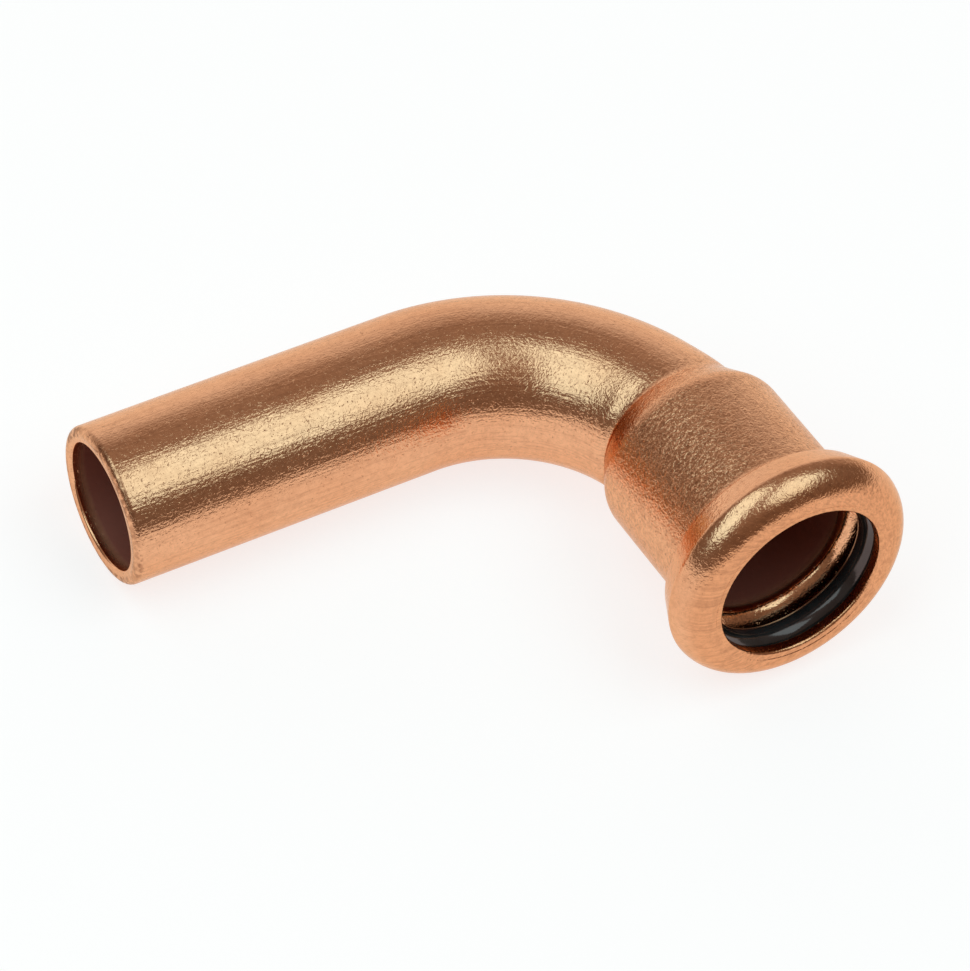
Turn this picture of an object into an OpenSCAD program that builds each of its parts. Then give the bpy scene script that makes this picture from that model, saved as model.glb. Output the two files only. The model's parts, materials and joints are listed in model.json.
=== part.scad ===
// A 90 degree press elbow for 15 mm copper pipe, bent from one length of tube.
// One end is left plain, as a spigot that goes into another fitting. The other end is opened out into
// a socket, and its rim is rolled into a bead that holds a rubber sealing ring. The elbow lies as it
// comes to rest on a flat surface, with the spigot and the bead touching it. All sizes are in mm.

/* [Tube] */

// Outside diameter of the tube that the elbow is bent from
tube_diameter = 15; // [12:0.5:22]
// Wall thickness of the tube
wall = 1.5; // [1:0.1:2]

/* [Bend] */

// Radius of the bend, at the tube's centre line
bend_radius = 19.1; // [18:0.1:30]

/* [Spigot] */

// Distance from the crossing of the two axes to the spigot's end face
spigot_reach = 50.2; // [40:0.1:80]
// Rounding of the spigot's outer end edge
spigot_end_round = 1.1; // [0.3:0.1:1.2]

/* [Socket] */

// Distance from the crossing of the two axes to the socket's mouth
socket_reach = 37.3; // [34:0.1:60]
// Outside diameter of the socket's plain wall
socket_diameter = 18.4; // [17:0.1:26]
// Diameter of the bore that takes the pipe
socket_bore = 15.2; // [12.3:0.1:22.5]
// Distance from the crossing of the two axes to where the shoulder rises from the tube
shoulder_start = 15.5; // [14:0.1:20]
// Slope of the shoulder, from the socket's axis
shoulder_angle = 28; // [20:1:45]
// Rounding where the shoulder meets the socket's plain wall
shoulder_round = 3; // [0.5:0.1:4]

/* [Bead] */

// Largest outside diameter of the bead
bead_diameter = 23.9; // [21:0.1:34]
// Outside radius of the bead's rolled section
bead_arc = 2.5; // [2:0.1:3]
// Slope of the bead's rear flank, from the socket's axis
flank_angle = 45; // [35:1:60]
// Rounding between the socket's plain wall and the bead's rear flank
bead_fillet = 1.3; // [0.5:0.1:3]
// Diameter of the opening inside the lip
lip_bore = 16.2; // [15.8:0.1:23]
// Thickness of the lip that is turned in over the sealing ring
lip_thickness = 1.15; // [0.8:0.05:1.5]
// Rounding of the lip's front edge
lip_round = 0.3; // [0.1:0.1:0.5]

/* [Sealing ring] */

// Diameter of the sealing ring's round section
seal_section = 2.7; // [2:0.1:3.2]
// Diameter of the groove at its crown, which the sealing ring touches
groove_diameter = 20.7; // [19:0.1:30]
// Slope of the groove's back, from the socket's axis
groove_angle = 55; // [45:1:60]
// How much larger the groove's arc is than the sealing ring's section, in radius
seal_room = 0.05; // [0.02:0.01:0.2]

/* [Hidden] */

$fn = 144;
// Length that a cut runs on past a face
past = 1;
// Depth at which the bead's rear flank ends inside the rolled arc, so that the two cross cleanly
join = 0.01;

tube_radius = tube_diameter / 2;
bore_radius = tube_radius - wall;
socket_radius = socket_diameter / 2;
socket_bore_radius = socket_bore / 2;
lip_bore_radius = lip_bore / 2;
seal_radius = seal_section / 2;

// The shoulder's cone starts inside the bend, so that it rises out of the tube without a step
shoulder_slope = tan(shoulder_angle);
shoulder_foot = shoulder_start - (tube_radius - bore_radius) / shoulder_slope;
shoulder_end = shoulder_start + (socket_radius - tube_radius) / shoulder_slope;
corner_station = shoulder_end + shoulder_round * tan(shoulder_angle / 2);
corner_radius = socket_radius - shoulder_round;

// The same cone inside the wall, one wall thickness in
inner_start = shoulder_start + wall / sin(shoulder_angle);
inner_foot_radius = bore_radius - past;
inner_foot = inner_start - (tube_radius - inner_foot_radius) / shoulder_slope;
pipe_stop = inner_start + (socket_bore_radius - tube_radius) / shoulder_slope;

// The bead's rolled section, outside
bead_center = bead_diameter / 2 - bead_arc;
bead_station = socket_reach - bead_arc;
flank_top_radius = bead_center + bead_arc * cos(flank_angle);
flank_top = bead_station - bead_arc * sin(flank_angle);
flank_foot = flank_top - (flank_top_radius - socket_radius) / tan(flank_angle);
fillet_station = flank_foot - bead_fillet * tan(flank_angle / 2);
fillet_center = socket_radius + bead_fillet;

// The groove inside the bead
groove_arc = seal_radius + seal_room;
groove_center = groove_diameter / 2 - groove_arc;
groove_front = socket_reach - lip_thickness;
groove_station = groove_front - groove_arc;
groove_back_radius = groove_center + groove_arc * cos(groove_angle);
groove_back = groove_station - groove_arc * sin(groove_angle);
groove_edge = groove_back - (groove_back_radius - socket_bore_radius) / tan(groove_angle);
seal_center = groove_diameter / 2 - seal_radius;

// Angle that the elbow rolls about the spigot until its bead touches the surface it lies on
bead_swing = sqrt(bead_station * bead_station + bead_center * bead_center);
lie_angle = asin((bead_arc - tube_radius) / bead_swing) + atan2(bead_center, bead_station);

// Middle of the elbow's box, seen from above, measured from the crossing of the two axes
middle_x = (bead_diameter / 2 - spigot_reach) / 2;
front_y = bead_station * cos(lie_angle) + bead_center * sin(lie_angle) + bead_arc;
middle_y = (tube_radius - front_y) / 2;

// Lays a shape drawn round the crossing of the two axes on the surface, over the middle of its box
module lying() {
  translate([-middle_x, -middle_y, tube_radius])
    rotate([-lie_angle, 0, 0])
      children();
}

// Turns a shape drawn upward round Z so that it runs out along the socket's axis
module along_socket() {
  rotate([90, 0, 0])
    children();
}

// Turns a shape drawn upward round Z so that it runs out along the spigot's axis
module along_spigot() {
  rotate([0, -90, 0])
    children();
}

// A quarter turn of round rod, from the socket's axis to the spigot's
module bend(radius) {
  translate([-bend_radius, -bend_radius, 0])
    rotate_extrude(angle = 90)
      translate([bend_radius, 0])
        circle(r = radius);
}

// The spigot's outline, from its axis out to its outside
module spigot_outline() {
  translate([0, bend_radius])
    square([tube_radius, spigot_reach - spigot_end_round - bend_radius]);
  translate([0, bend_radius])
    square([tube_radius - spigot_end_round, spigot_reach - bend_radius]);
  translate([tube_radius - spigot_end_round, spigot_reach - spigot_end_round])
    circle(r = spigot_end_round);
}

// The socket's outline, from its axis out to its outside: shoulder, plain wall and bead
module socket_outline() {
  difference() {
    union() {
      polygon([
        [0, shoulder_foot],
        [bore_radius, shoulder_foot],
        [corner_radius + shoulder_round * cos(shoulder_angle),
          corner_station - shoulder_round * sin(shoulder_angle)],
        [socket_radius, corner_station],
        [socket_radius, fillet_station],
        [fillet_center - bead_fillet * cos(flank_angle), fillet_station + bead_fillet * sin(flank_angle)],
        [flank_top_radius - join * cos(flank_angle), flank_top + join * sin(flank_angle)],
        [bead_center, socket_reach],
        [0, socket_reach]
      ]);
      translate([corner_radius, corner_station])
        circle(r = shoulder_round);
      translate([bead_center, bead_station])
        circle(r = bead_arc);
    }
    translate([fillet_center, fillet_station])
      circle(r = bead_fillet);
  }
}

// The hollow in the socket, from its axis out: cone, pipe bore, groove and lip opening
module socket_hollow() {
  difference() {
    union() {
      polygon([
        [0, inner_foot],
        [inner_foot_radius, inner_foot],
        [socket_bore_radius, pipe_stop],
        [socket_bore_radius, groove_edge],
        [groove_back_radius, groove_back],
        [groove_center, groove_front],
        [lip_bore_radius, groove_front],
        [lip_bore_radius, socket_reach - lip_round],
        [lip_bore_radius + lip_round, socket_reach],
        [lip_bore_radius + lip_round, socket_reach + past],
        [0, socket_reach + past]
      ]);
      translate([groove_center, groove_station])
        circle(r = groove_arc);
    }
    translate([lip_bore_radius + lip_round, socket_reach - lip_round])
      circle(r = lip_round);
  }
}

// The bent copper tube with its spigot, socket and rolled bead
module elbow_body() {
  color("#b87345")
    lying()
      difference() {
        union() {
          along_spigot()
            rotate_extrude()
              spigot_outline();
          bend(tube_radius);
          along_socket()
            rotate_extrude()
              socket_outline();
        }
        along_spigot()
          translate([0, 0, bend_radius])
            cylinder(r = bore_radius, h = spigot_reach - bend_radius + past);
        bend(bore_radius);
        along_socket()
          rotate_extrude()
            socket_hollow();
      }
}

// The rubber ring that sits in the groove inside the bead
module sealing_ring() {
  color("#1d2022")
    lying()
      along_socket()
        rotate_extrude()
          translate([seal_center, groove_station])
            circle(r = seal_radius);
}

elbow_body();
sealing_ring();
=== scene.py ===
import json
import math

import bpy
from mathutils import Matrix, Vector


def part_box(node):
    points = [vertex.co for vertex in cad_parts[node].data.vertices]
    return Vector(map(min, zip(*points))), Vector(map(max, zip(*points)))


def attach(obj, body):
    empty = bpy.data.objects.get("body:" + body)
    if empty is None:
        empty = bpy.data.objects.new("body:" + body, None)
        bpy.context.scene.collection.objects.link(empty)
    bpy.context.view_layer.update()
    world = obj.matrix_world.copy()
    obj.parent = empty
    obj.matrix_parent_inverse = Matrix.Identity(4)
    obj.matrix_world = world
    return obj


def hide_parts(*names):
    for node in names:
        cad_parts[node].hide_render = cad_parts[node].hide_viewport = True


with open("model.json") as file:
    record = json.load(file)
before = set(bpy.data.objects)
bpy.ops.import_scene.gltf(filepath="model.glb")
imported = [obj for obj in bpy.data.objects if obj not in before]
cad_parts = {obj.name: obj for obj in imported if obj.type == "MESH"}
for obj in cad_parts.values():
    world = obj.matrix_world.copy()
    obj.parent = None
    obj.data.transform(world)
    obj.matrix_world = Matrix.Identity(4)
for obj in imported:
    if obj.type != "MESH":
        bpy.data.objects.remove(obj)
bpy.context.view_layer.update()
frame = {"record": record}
scene = bpy.context.scene

# The elbow's body: one length of bare copper tube, bent through a right angle, tumbled bright and left
# to tarnish. One end is cut plain, as a spigot. The other is opened out into a socket, and its rim is
# rolled into a bead, with a groove inside it and a lip turned in over the groove.
MM = 0.001

mounts = {mount["name"]: mount for mount in frame["record"]["mounts"]}
spigot_mount = mounts["spigot"]
socket_mount = mounts["socket"]
crossing = Vector((socket_mount["pos_m"][0], spigot_mount["pos_m"][1], spigot_mount["pos_m"][2]))
socket_axis = Vector(socket_mount["axis"])
lie_angle = math.atan2(socket_axis.z, -socket_axis.y)
elbow_low, elbow_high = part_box("elbow_body")

tube_radius = spigot_mount["dims"]["r_mm"] * MM
wall = 1.5 * MM
bend_radius = 19.1 * MM
spigot_reach = crossing.x - elbow_low.x
shoulder_start = 15.5 * MM
shoulder_slope = math.tan(math.radians(28))
socket_radius = 9.2 * MM
mouth = 37.3 * MM
pipe_bore_radius = socket_mount["dims"]["r_mm"] * MM
pipe_bore_length = socket_mount["dims"]["length_mm"] * MM
pipe_bore_middle = (Vector(socket_mount["pos_m"]) - crossing).dot(socket_axis)
pipe_stop = pipe_bore_middle - pipe_bore_length / 2

# The bead's flank rises to a bevel, the bevel to a ridge, and from the ridge its front is rounded down
# to the mouth, where a fine step in the flat face runs round the lip.
bead_radius = elbow_high.x - crossing.x
bead_ridge = 34.4 * MM
bevel_length = 2.8 * MM
bevel_slope = math.radians(24)
bead_front_slope = math.radians(8)
face_step = 0.05 * MM

# The groove's crown has one rounding from the lip's back face over to the groove's sloped back.
lip_thickness = 1.15 * MM
groove_radius = 10.35 * MM
groove_rounding = 1.4 * MM
groove_slope = math.radians(55)
groove_front = mouth - lip_thickness
groove_crown = groove_front - groove_rounding
groove_corner = groove_crown - groove_rounding * math.tan(groove_slope / 2)

elbow_sizes = {
    "Tube radius": tube_radius,
    "Waterway radius": tube_radius - wall,
    "Bend radius": bend_radius,
    "Spigot reach": spigot_reach,
    "Spigot end rounding": 0.7 * MM,
    "Spigot inner edge": 0.3 * MM,
    "Shoulder start": shoulder_start,
    "Shoulder crease": 1.6 * MM,
    "Shoulder end": shoulder_start + (socket_radius - tube_radius) / shoulder_slope,
    "Shoulder rounding": 3 * MM,
    "Socket radius": socket_radius,
    "Bead foot": 31.1 * MM,
    "Bead fillet": 1.3 * MM,
    "Bevel station": bead_ridge - bevel_length * math.cos(bevel_slope),
    "Bevel radius": bead_radius - bevel_length * math.sin(bevel_slope),
    "Bevel rounding": 0.5 * MM,
    "Ridge": bead_ridge,
    "Bead radius": bead_radius,
    "Ridge rounding": 0.85 * MM,
    "Bead front radius": bead_radius - (mouth - bead_ridge) * math.tan(bead_front_slope),
    "Bead front rounding": 3 * MM,
    "Mouth": mouth,
    "Face line radius": 8.85 * MM,
    "Face line rounding": 0.04 * MM,
    "Lip step radius": 8.75 * MM,
    "Lip face": mouth - face_step,
    "Lip radius": 8.1 * MM,
    "Lip rounding": 0.3 * MM,
    "Lip back edge": 0.15 * MM,
    "Groove front": groove_front,
    "Groove radius": groove_radius,
    "Groove rounding": groove_rounding,
    "Groove corner": groove_corner,
    "Groove edge": groove_corner - (groove_radius - pipe_bore_radius) / math.tan(groove_slope),
    "Groove edge rounding": 1.2 * MM,
    "Pipe bore radius": pipe_bore_radius,
    "Pipe stop": pipe_stop,
    "Stop rounding": 0.4 * MM,
    "Stop foot": pipe_stop - (pipe_bore_radius - tube_radius + wall) / shoulder_slope,
}

# The wall's section, corner by corner: the end that the corner's station is measured on, its station,
# its radius and its rounding.
elbow_corners = [
    ("spigot", "Spigot reach", "Tube radius", "Spigot end rounding"),
    ("socket", "Shoulder start", "Tube radius", "Shoulder crease"),
    ("socket", "Shoulder end", "Socket radius", "Shoulder rounding"),
    ("socket", "Bead foot", "Socket radius", "Bead fillet"),
    ("socket", "Bevel station", "Bevel radius", "Bevel rounding"),
    ("socket", "Ridge", "Bead radius", "Ridge rounding"),
    ("socket", "Mouth", "Bead front radius", "Bead front rounding"),
    ("socket", "Mouth", "Face line radius", "Face line rounding"),
    ("socket", "Lip face", "Lip step radius", "Face line rounding"),
    ("socket", "Lip face", "Lip radius", "Lip rounding"),
    ("socket", "Groove front", "Lip radius", "Lip back edge"),
    ("socket", "Groove front", "Groove radius", "Groove rounding"),
    ("socket", "Groove corner", "Groove radius", "Groove rounding"),
    ("socket", "Groove edge", "Pipe bore radius", "Groove edge rounding"),
    ("socket", "Pipe stop", "Pipe bore radius", "Stop rounding"),
    ("socket", "Stop foot", "Waterway radius", "Stop rounding"),
    ("spigot", "Spigot reach", "Waterway radius", "Spigot inner edge"),
]
corner_stations = [station for end, station, radius, rounding in elbow_corners]
first_lining_corner = corner_stations.index("Groove front")
first_bore_corner = corner_stations.index("Groove edge")

# Length of the unbent tube from the bend's middle to the spigot's end.
spigot_length = spigot_reach - (1 - math.pi / 4) * bend_radius


def add(tree, kind, *values, **settings):
    """Add a node with its settings, and give its visible inputs, in order, a link or a plain value."""
    node = tree.nodes.new(kind)
    for name, setting in settings.items():
        setattr(node, name, setting)
    shown = [socket for socket in node.inputs if socket.enabled]
    for socket, value in zip(shown, values):
        if isinstance(value, bpy.types.NodeSocket):
            tree.links.new(value, socket)
        elif value is not None:
            socket.default_value = value
    return node


def out(node, name=None):
    """The first visible output of a node, or the one with that name."""
    return next(s for s in node.outputs if s.enabled and name in (None, s.name))


def calc(tree, operation, *values, clamp=False):
    """One sum on plain numbers."""
    return out(add(tree, "ShaderNodeMath", *values, operation=operation, use_clamp=clamp))


def vector(tree, operation, *values):
    """One sum on vectors."""
    return out(add(tree, "ShaderNodeVectorMath", *values, operation=operation))


def xyz(tree, x=0.0, y=0.0, z=0.0):
    """A vector from its three parts."""
    return out(add(tree, "ShaderNodeCombineXYZ", x, y, z))


def ramp(tree, value, start, end, low=0.0, high=1.0):
    """A number that goes smoothly from low to high as the given value goes from start to end."""
    kind = "SMOOTHSTEP"
    return out(add(tree, "ShaderNodeMapRange", value, start, end, low, high, interpolation_type=kind))


def eased(tree, share, low, high):
    """A number that goes smoothly from low to high as a share goes from 0 to 1."""
    return ramp(tree, share, 0.0, 1.0, low, high)


def new_tree(name, sizes):
    """An empty geometry tree with one named input for each size, and those inputs by name."""
    tree = bpy.data.node_groups.new(name, "GeometryNodeTree")
    tree.interface.new_socket("Geometry", in_out="OUTPUT", socket_type="NodeSocketGeometry")
    for size in sizes:
        tree.interface.new_socket(size, in_out="INPUT", socket_type="NodeSocketFloat")
    entry = tree.nodes.new("NodeGroupInput")
    return tree, {size: entry.outputs[size] for size in sizes}


def captured(tree, curve, name, value):
    """The curve with a number kept on its points, and that number as it reaches the mesh."""
    node = tree.nodes.new("GeometryNodeCaptureAttribute")
    node.capture_items.new("FLOAT", name)
    tree.links.new(curve, node.inputs["Geometry"])
    tree.links.new(value, node.inputs[name])
    return node.outputs["Geometry"], node.outputs[name]


def stored(tree, mesh, name, value, kind="FLOAT"):
    """The mesh with a value kept on its points, for the material to read."""
    return out(add(tree, "GeometryNodeStoreNamedAttribute", mesh, None, name, value, data_type=kind))


def turned_circle(tree, steps):
    """A circle to carry a section round, with each point's angle on it."""
    circle = out(add(tree, "GeometryNodeCurvePrimitiveCircle", steps))
    angle = calc(tree, "MULTIPLY", out(add(tree, "GeometryNodeInputIndex")), 2 * math.pi / steps)
    return captured(tree, circle, "Angle", angle)


def laid_down(tree, mesh, material):
    """Lay a mesh made round the crossing of the axes where the elbow lies, and close the tree.

    Points that two arcs share become one, and the faces, which the sweep turns inwards, point outwards.
    """
    doubles = 0.001 * MM
    mesh = out(add(tree, "GeometryNodeTransform", mesh, crossing, (-lie_angle, 0, 0)))
    mesh = out(add(tree, "GeometryNodeMergeByDistance", mesh, None, doubles))
    mesh = out(add(tree, "GeometryNodeFlipFaces", mesh))
    mesh = out(add(tree, "GeometryNodeSetShadeSmooth", mesh))
    mesh = out(add(tree, "GeometryNodeRealizeInstances", mesh))
    mesh = out(add(tree, "GeometryNodeSetMaterial", mesh, None, material))
    add(tree, "NodeGroupOutput", mesh)


def plain_piece(name, tree, sizes):
    """Run a tree with its sizes, and keep the result as a plain mesh object."""
    piece = bpy.data.objects.new(name, bpy.data.meshes.new(name))
    scene.collection.objects.link(piece)
    modifier = piece.modifiers.new(name, "NODES")
    modifier.node_group = tree
    for item in tree.interface.items_tree:
        if item.in_out == "INPUT":
            modifier[item.identifier] = sizes[item.name]
    evaluated = piece.evaluated_get(bpy.context.evaluated_depsgraph_get())
    mesh = bpy.data.meshes.new_from_object(evaluated)
    piece.modifiers.remove(modifier)
    piece.data = mesh
    return piece


def attribute(tree, name):
    """The node that reads one of the piece's own attributes."""
    return add(tree, "ShaderNodeAttribute", attribute_name=name)


def noise(tree, place, per_metre, detail=2.0, roughness=0.5, distortion=0.0):
    """A noise pattern from 0 to 1, with this many cells to a metre."""
    node = add(tree, "ShaderNodeTexNoise", place)
    node.inputs["Scale"].default_value = per_metre
    node.inputs["Detail"].default_value = detail
    node.inputs["Roughness"].default_value = roughness
    node.inputs["Distortion"].default_value = distortion
    return out(node)


def blended(tree, factor, first, second):
    """A colour between two others."""
    return out(add(tree, "ShaderNodeMix", factor, first, second, data_type="RGBA"))


def bumped(tree, shader, relief, depth):
    """Give a shader a relief, where a height of 1 stands for this depth."""
    bump = add(tree, "ShaderNodeBump")
    bump.inputs["Distance"].default_value = depth
    tree.links.new(relief, bump.inputs["Height"])
    tree.links.new(bump.outputs["Normal"], shader.inputs["Normal"])


def copper_material():
    """Bare tumbled copper: grain, draw lines, pits and tarnish outside, and painted shade, a dull dark
    maroon, in the bore.
    """
    material = bpy.data.materials.new("tumbled_copper")
    material.use_nodes = True
    tree = material.node_tree
    shader = tree.nodes["Principled BSDF"]
    shader.inputs["Specular Tint"].default_value = (0.95, 0.8, 0.66, 1)
    place = tree.nodes.new("ShaderNodeTexCoord").outputs["Object"]
    inside = out(attribute(tree, "inside"), "Fac")
    lining = out(attribute(tree, "lining"), "Fac")
    unbent = out(attribute(tree, "unbent"), "Vector")
    along = out(add(tree, "ShaderNodeSeparateXYZ", unbent), "Z")
    off_axis = vector(tree, "LENGTH", vector(tree, "MULTIPLY", unbent, (1, 1, 0)))

    # The zones follow the unbent tube. Forming the socket coarsens the copper's grain there, and rolling
    # smooths it again, on the bead and in the lining of its groove.
    formed = ramp(tree, along, 8 * MM, 13 * MM)
    bead = calc(tree, "SUBTRACT", ramp(tree, along, 27.0 * MM, 28.2 * MM), lining, clamp=True)
    bead_face = calc(tree, "SUBTRACT", ramp(tree, along, 31.6 * MM, 32.9 * MM), lining, clamp=True)
    coarse = calc(tree, "SUBTRACT", formed, bead, clamp=True)

    # The patterns: draw lines run along the tube, and the rolling tool's rings run round the bead.
    grain = noise(tree, place, per_metre=2900, detail=1.5, roughness=0.6, distortion=1.1)
    mottle = noise(tree, place, per_metre=1700, detail=3, roughness=0.75)
    waves = noise(tree, place, per_metre=420, detail=1)
    patches = noise(tree, place, per_metre=130, detail=3)
    wander = vector(tree, "SCALE", place, None, None, 0.05)
    rings = noise(tree, vector(tree, "ADD", xyz(tree, off_axis, along), wander), per_metre=2600)
    stretched = vector(tree, "MULTIPLY", unbent, (1, 1, 0.03))
    draw_lines = noise(tree, stretched, per_metre=4200)
    pits = ramp(tree, noise(tree, place, per_metre=3300, detail=2.5), 0.64, 0.76)
    pits = calc(tree, "MULTIPLY", pits, eased(tree, bead, 1.0, 0.5))

    # The tool that cut the spigot off left its outer edge rough, and the edge has turned brown in places.
    from_end = calc(tree, "ADD", along, spigot_length)
    end_band = ramp(tree, from_end, 0.75 * MM, 0.3 * MM)
    end_band = calc(tree, "MULTIPLY", end_band, ramp(tree, off_axis, 6.45 * MM, 6.75 * MM))
    tool_marks = noise(tree, place, per_metre=2000, detail=3)
    end_stain = calc(tree, "MULTIPLY", end_band, ramp(tree, tool_marks, 0.38, 0.58, 0.1, 1.0))
    worn = ramp(tree, noise(tree, place, per_metre=260), 0.36, 0.58, 0.35, 1.0)
    end_stain = calc(tree, "MULTIPLY", end_stain, worn)

    bright = (0.86, 0.435, 0.238, 1)
    ruddy = (0.80, 0.36, 0.18, 1)
    rolled = (0.80, 0.345, 0.16, 1)
    brown = (0.30, 0.12, 0.06, 1)
    # The bore's colour is painted shade: a dull dark maroon where little light gets in.
    painted_bore_shade = (0.36, 0.112, 0.078, 1)
    colour = blended(tree, ramp(tree, patches, 0.4, 0.7, 0.0, 0.5), bright, ruddy)
    valleys = calc(tree, "MULTIPLY", ramp(tree, grain, 0.47, 0.25), eased(tree, coarse, 0.2, 0.45))
    colour = blended(tree, valleys, colour, brown)
    colour = blended(tree, calc(tree, "MULTIPLY", bead_face, 0.75), colour, rolled)
    dullness = calc(tree, "MULTIPLY_ADD", bead_face, 0.08, eased(tree, coarse, 0.2, 0.34))
    tarnish = calc(tree, "MULTIPLY", ramp(tree, mottle, 0.35, 0.7), dullness)
    colour = blended(tree, tarnish, colour, brown)
    ring_stain = calc(tree, "MULTIPLY", ramp(tree, rings, 0.42, 0.68), bead_face)
    colour = blended(tree, calc(tree, "MULTIPLY", ring_stain, 0.3), colour, brown)
    streaks = calc(tree, "MULTIPLY", ramp(tree, draw_lines, 0.5, 0.64), eased(tree, formed, 0.16, 0.0))
    colour = blended(tree, streaks, colour, brown)
    colour = blended(tree, calc(tree, "MULTIPLY", pits, 0.3), colour, brown)
    colour = blended(tree, calc(tree, "MULTIPLY", end_stain, 0.9), colour, brown)
    # The bore is painted a dull dark maroon, as painted shade deep inside it.
    colour = blended(tree, inside, colour, painted_bore_shade)
    tree.links.new(colour, shader.inputs["Base Color"])

    # The bore's painted shade is dull and hardly metallic, and the lining is the brightest.
    tree.links.new(eased(tree, inside, 1.0, 0.2), shader.inputs["Metallic"])
    satin = ramp(tree, patches, 0.35, 0.7, 0.14, 0.19)
    satin = calc(tree, "MULTIPLY_ADD", end_stain, 0.15, satin)
    satin = calc(tree, "MULTIPLY_ADD", inside, 0.4, satin)
    satin = calc(tree, "MULTIPLY_ADD", lining, -0.05, satin)
    tree.links.new(satin, shader.inputs["Roughness"])

    # Each part of the relief is multiplied by its depth in mm.
    smoothing = calc(tree, "MULTIPLY_ADD", bead, 0.58, calc(tree, "MULTIPLY", lining, 0.76))
    grain_depth = eased(tree, formed, 0.041, 0.082)
    grain_depth = calc(tree, "MULTIPLY", grain_depth, calc(tree, "SUBTRACT", 1.0, smoothing))
    draw_depth = eased(tree, calc(tree, "MAXIMUM", bead, lining), 0.022, 0.002)
    relief = calc(tree, "MULTIPLY", grain, grain_depth)
    relief = calc(tree, "MULTIPLY_ADD", waves, 0.03, relief)
    relief = calc(tree, "MULTIPLY_ADD", draw_lines, draw_depth, relief)
    relief = calc(tree, "MULTIPLY_ADD", calc(tree, "MULTIPLY", rings, bead), 0.012, relief)
    relief = calc(tree, "MULTIPLY_ADD", pits, -0.024, relief)
    relief = calc(tree, "MULTIPLY_ADD", calc(tree, "MULTIPLY", end_band, tool_marks), 0.05, relief)
    bumped(tree, shader, relief, MM)
    return material


# The section is drawn with its radius along X and its unrolled length along Z, rounded, and carried
# round a circle. The straight tube that this gives is then bent: the bend's middle has length 0, the
# spigot's end lies below it and the mouth above it.
arc_steps = 12
step_length = 0.6 * MM
steps_round = 144

elbow_tree, size = new_tree("bent_tube", elbow_sizes)
tree = elbow_tree
half_bend = calc(tree, "MULTIPLY", size["Bend radius"], math.pi / 4)
straight_part = calc(tree, "SUBTRACT", size["Bend radius"], half_bend)

index = out(add(tree, "GeometryNodeInputIndex"))
corner_place = add(tree, "GeometryNodeIndexSwitch", data_type="VECTOR")
corner_rounding = add(tree, "GeometryNodeIndexSwitch", data_type="FLOAT")
for switch in (corner_place, corner_rounding):
    while len(switch.index_switch_items) < len(elbow_corners):
        switch.index_switch_items.new()
    tree.links.new(index, switch.inputs["Index"])
for i, (end, station, radius, rounding) in enumerate(elbow_corners):
    if end == "socket":
        along = calc(tree, "SUBTRACT", size[station], straight_part)
    else:
        along = calc(tree, "SUBTRACT", straight_part, size[station])
    tree.links.new(xyz(tree, size[radius], 0.0, along), corner_place.inputs[1 + i])
    tree.links.new(size[rounding], corner_rounding.inputs[1 + i])

section = out(add(tree, "GeometryNodeMeshLine", len(elbow_corners)))
section = out(add(tree, "GeometryNodeSetPosition", section, None, out(corner_place)))
section, corner = captured(tree, section, "Corner", index)
section = out(add(tree, "GeometryNodeMeshToCurve", section))
section = out(add(tree, "GeometryNodeSetSplineCyclic", section, None, True))
rounding = out(corner_rounding)
section = out(add(tree, "GeometryNodeFilletCurve", section, arc_steps, rounding, True, mode="POLY"))

# Long straight stretches of the section get more points, so that they can bend.
position = out(add(tree, "GeometryNodeInputPosition"))
point_count = out(add(tree, "GeometryNodeAttributeDomainSize", section, component="CURVE"))
following = calc(tree, "MODULO", calc(tree, "ADD", index, 1.0), point_count)
following = out(add(tree, "GeometryNodeFieldAtIndex", position, following, data_type="FLOAT_VECTOR"))
run = vector(tree, "LENGTH", vector(tree, "SUBTRACT", following, position))
section = out(add(tree, "GeometryNodeSubdivideCurve", section, calc(tree, "DIVIDE", run, step_length)))

parts = add(tree, "ShaderNodeSeparateXYZ", position)
section, radius = captured(tree, section, "Radius", out(parts, "X"))
section, along = captured(tree, section, "Along", out(parts, "Z"))
circle, angle = turned_circle(tree, steps_round)
tube = out(add(tree, "GeometryNodeCurveToMesh", circle, section))

across = calc(tree, "MULTIPLY", radius, calc(tree, "COSINE", angle))
upward = calc(tree, "MULTIPLY", radius, calc(tree, "SINE", angle))
into_bend = calc(tree, "ADD", along, half_bend)
past_bend = calc(tree, "MAXIMUM", calc(tree, "SUBTRACT", along, half_bend), 0.0)
before_bend = calc(tree, "MINIMUM", into_bend, 0.0)
turn = calc(tree, "DIVIDE", into_bend, size["Bend radius"])
turn = calc(tree, "MINIMUM", calc(tree, "MAXIMUM", turn, 0.0), math.pi / 2)
swing = calc(tree, "ADD", size["Bend radius"], across)
bent_x = calc(tree, "MULTIPLY", swing, calc(tree, "SINE", turn))
bent_x = calc(tree, "SUBTRACT", bent_x, size["Bend radius"])
bent_x = calc(tree, "ADD", bent_x, before_bend)
bent_y = calc(tree, "MULTIPLY", swing, calc(tree, "COSINE", turn))
bent_y = calc(tree, "SUBTRACT", bent_y, size["Bend radius"])
bent_y = calc(tree, "SUBTRACT", bent_y, past_bend)
bent = xyz(tree, bent_x, bent_y, upward)

# The shoulder is formed on the socket's own axis, so the last of the bend eases over to that axis.
ease_start = 12.5 * MM
ease_end = 17.5 * MM
station = calc(tree, "ADD", along, straight_part)
straight = xyz(tree, across, calc(tree, "MULTIPLY", station, -1.0), upward)
ease = ramp(tree, station, ease_start, ease_end)
formed = out(add(tree, "ShaderNodeMix", ease, bent, straight, data_type="VECTOR"))
tube = out(add(tree, "GeometryNodeSetPosition", tube, None, formed))
tube = stored(tree, tube, "unbent", xyz(tree, across, upward, along), "FLOAT_VECTOR")
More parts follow.
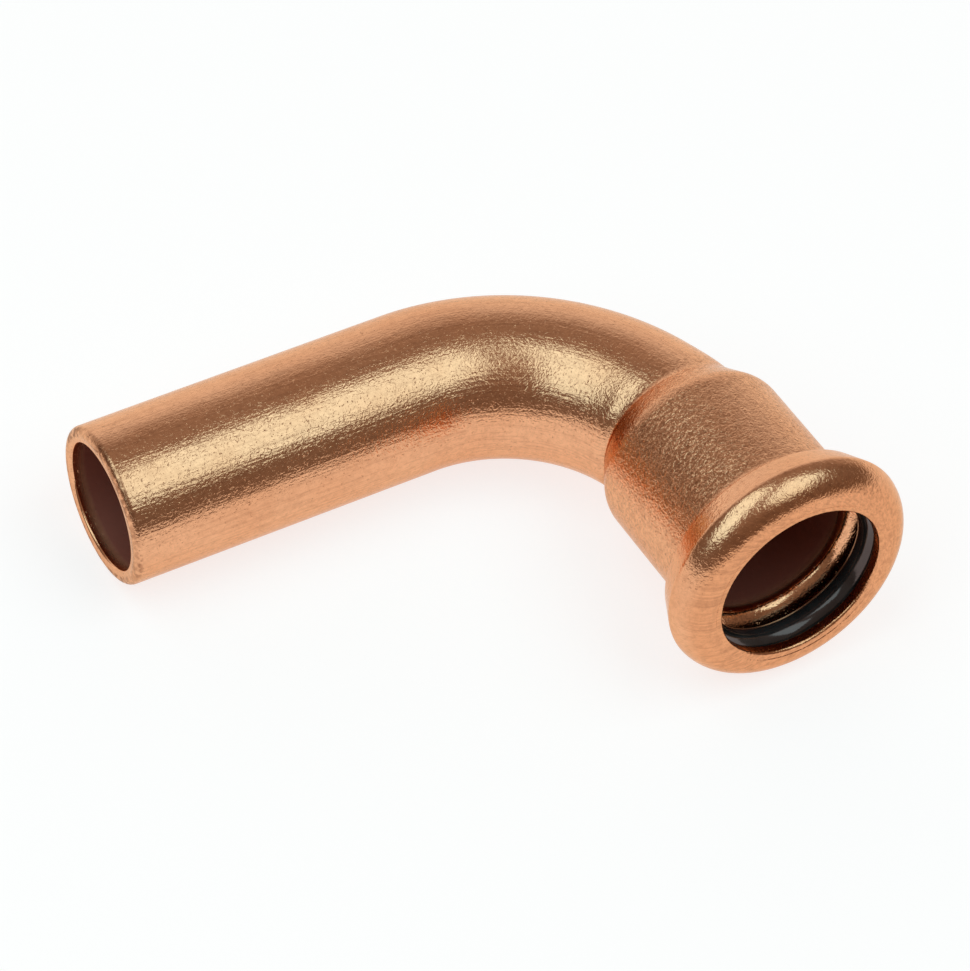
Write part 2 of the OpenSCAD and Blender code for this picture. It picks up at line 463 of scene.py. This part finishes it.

# The bore starts at the groove's edge, and the dark maroon painted in it as painted shade thins out
# towards both of its ends.
bore_shade_start = 0.4 * MM
bore_shade_full = 1.5 * MM
bore_side = calc(tree, "GREATER_THAN", corner, first_bore_corner - 0.5)
from_spigot = calc(tree, "ADD", along, calc(tree, "SUBTRACT", size["Spigot reach"], straight_part))
from_groove = calc(tree, "SUBTRACT", calc(tree, "SUBTRACT", size["Groove edge"], straight_part), along)
depth = calc(tree, "MINIMUM", from_spigot, from_groove)
inside = calc(tree, "MULTIPLY", bore_side, ramp(tree, depth, bore_shade_start, bore_shade_full))
tube = stored(tree, tube, "inside", inside)
tube = stored(tree, tube, "lining", calc(tree, "GREATER_THAN", corner, first_lining_corner - 0.5))
laid_down(tree, tube, copper_material())

elbow = plain_piece("elbow", elbow_tree, elbow_sizes)
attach(elbow, "root")
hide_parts("elbow_body")

# The sealing ring: a moulded ring of black rubber with a round section. It is pressed into the groove
# inside the bead and stays there by its own spring, touching the groove's crown.
seal_section_radius = 1.35 * MM
seal_sizes = {
    "Section radius": seal_section_radius,
    "Ring radius": groove_radius - seal_section_radius,
    "Station": groove_crown,
}
seal_section_steps = 48


def rubber_material():
    """Black moulded rubber, blotchy with a thin film of oil."""
    material = bpy.data.materials.new("seal_rubber")
    material.use_nodes = True
    tree = material.node_tree
    shader = tree.nodes["Principled BSDF"]
    shader.inputs["Specular Tint"].default_value = (1, 0.72, 0.66, 1)
    shader.inputs["Specular IOR Level"].default_value = 0.95
    place = tree.nodes.new("ShaderNodeTexCoord").outputs["Object"]
    oil = noise(tree, place, per_metre=350)
    skin = noise(tree, place, per_metre=6000, detail=1)
    black = (0.016, 0.017, 0.017, 1)
    grey = (0.028, 0.030, 0.030, 1)
    tree.links.new(blended(tree, ramp(tree, oil, 0.35, 0.65), black, grey), shader.inputs["Base Color"])
    tree.links.new(ramp(tree, oil, 0.3, 0.7, 0.09, 0.16), shader.inputs["Roughness"])
    bumped(tree, shader, skin, 0.004 * MM)
    return material


seal_tree, size = new_tree("round_ring", seal_sizes)
tree = seal_tree
section, section_angle = turned_circle(tree, seal_section_steps)
circle, angle = turned_circle(tree, steps_round)
ring = out(add(tree, "GeometryNodeCurveToMesh", circle, section))
reach = calc(tree, "MULTIPLY", size["Section radius"], calc(tree, "COSINE", section_angle))
radius = calc(tree, "ADD", size["Ring radius"], reach)
depth = calc(tree, "MULTIPLY", size["Section radius"], calc(tree, "SINE", section_angle))
across = calc(tree, "MULTIPLY", radius, calc(tree, "COSINE", angle))
upward = calc(tree, "MULTIPLY", radius, calc(tree, "SINE", angle))
outward = calc(tree, "MULTIPLY", calc(tree, "ADD", size["Station"], depth), -1.0)
ring = out(add(tree, "GeometryNodeSetPosition", ring, None, xyz(tree, across, outward, upward)))
laid_down(tree, ring, rubber_material())

seal = plain_piece("seal", seal_tree, seal_sizes)
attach(seal, "root")
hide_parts("sealing_ring")

# The floor: a plain white sweep that the elbow lies on. The camera and reflections see it glow, so that it
# comes out nearly white, and its paint takes the elbow's shadow.
floor_half = 4.0
floor_glow = 0.73
floor_paint = (0.455, 0.40, 0.385, 1)
white = (1, 1, 1, 1)
floor_mesh = bpy.data.meshes.new("floor")
floor_corners = [(-floor_half, -floor_half, 0), (floor_half, -floor_half, 0),
                 (floor_half, floor_half, 0), (-floor_half, floor_half, 0)]
floor_mesh.from_pydata(floor_corners, [], [(0, 1, 2, 3)])
floor = bpy.data.objects.new("floor", floor_mesh)
scene.collection.objects.link(floor)
floor_material = bpy.data.materials.new("white_sweep")
floor_material.use_nodes = True
tree = floor_material.node_tree
tree.nodes.clear()
rays = tree.nodes.new("ShaderNodeLightPath")
seen = calc(tree, "MAXIMUM", rays.outputs["Is Camera Ray"], rays.outputs["Is Glossy Ray"])
seen = calc(tree, "MAXIMUM", seen, rays.outputs["Is Transmission Ray"])
paint = out(add(tree, "ShaderNodeBsdfDiffuse", floor_paint))
glow = out(add(tree, "ShaderNodeEmission", white, calc(tree, "MULTIPLY", seen, floor_glow)))
add(tree, "ShaderNodeOutputMaterial", out(add(tree, "ShaderNodeAddShader", paint, glow)))
floor_mesh.materials.append(floor_material)


# The light: two large soft boxes overhead, one on each side, in a dim room with a pale back wall.
def direction(azimuth, elevation):
    """A direction from the elbow: azimuth 0 is the front, towards -Y, and 90 is the right, towards +X."""
    around = math.radians(azimuth)
    above = math.radians(elevation)
    level = math.cos(above)
    return Vector((math.sin(around) * level, -math.cos(around) * level, math.sin(above)))


def soft_box(name, azimuth, elevation, width, height, turn):
    """A rectangular lamp that faces the elbow. Its power follows from its size and how bright it looks."""
    distance = 1.2
    radiance = 1.45
    tint = (0.60, 1.0, 1.12)
    lamp = bpy.data.lights.new(name, "AREA")
    lamp.shape = "RECTANGLE"
    lamp.size = width
    lamp.size_y = height
    lamp.energy = radiance * math.pi * width * height
    lamp.color = tint
    body = bpy.data.objects.new(name, lamp)
    scene.collection.objects.link(body)
    away = direction(azimuth, elevation)
    facing = away.to_track_quat("Z", "Y").to_matrix().to_4x4()
    spin = Matrix.Rotation(math.radians(turn), 4, "Z")
    body.matrix_world = Matrix.Translation(away * distance) @ facing @ spin


soft_box("right_box", azimuth=42, elevation=63, width=1.0, height=0.75, turn=17)
soft_box("left_box", azimuth=-92, elevation=58, width=0.73, height=1.4, turn=35)

back_wall = direction(azimuth=163, elevation=0)
wall_level = 0.67
warm_dim = (1.0, 0.8, 0.66, 1)
world = bpy.data.worlds.new("room")
world.use_nodes = True
tree = world.node_tree
scene.world = world
toward = tree.nodes.new("ShaderNodeTexCoord").outputs["Generated"]
height = out(add(tree, "ShaderNodeSeparateXYZ", toward), "Z")
backward = vector(tree, "DOT_PRODUCT", toward, back_wall)
wall_light = calc(tree, "MULTIPLY", ramp(tree, backward, 0.37, 0.97), ramp(tree, height, 0.88, 0.15))
room_level = ramp(tree, height, 0.4, 0.95, 0.21, 0.33)
level = calc(tree, "MULTIPLY_ADD", wall_light, wall_level, room_level)
warmth = blended(tree, ramp(tree, level, 0.2, 0.7), warm_dim, white)
tree.links.new(warmth, tree.nodes["Background"].inputs["Color"])
tree.links.new(level, tree.nodes["Background"].inputs["Strength"])

scene.view_settings.view_transform = "Standard"

# The camera: a long lens, above the elbow on its front left, tilted a little.
camera_aim = Vector((0.13, 1.33, 10.0)) * MM
camera_distance = 404.37 * MM
camera_tilt = math.radians(8.0)
camera_data = bpy.data.cameras.new("camera")
camera_data.sensor_width = 36
camera_data.lens = 168.08
camera = bpy.data.objects.new("camera", camera_data)
scene.collection.objects.link(camera)
away = direction(azimuth=-35.27, elevation=51.19)
right = away.cross(Vector((0, 0, 1))).normalized() * -1
upright = Matrix((right, away.cross(right), away)).transposed().to_4x4()
roll = Matrix.Rotation(camera_tilt, 4, "Z")
camera.matrix_world = Matrix.Translation(camera_aim + away * camera_distance) @ upright @ roll
scene.camera = camera
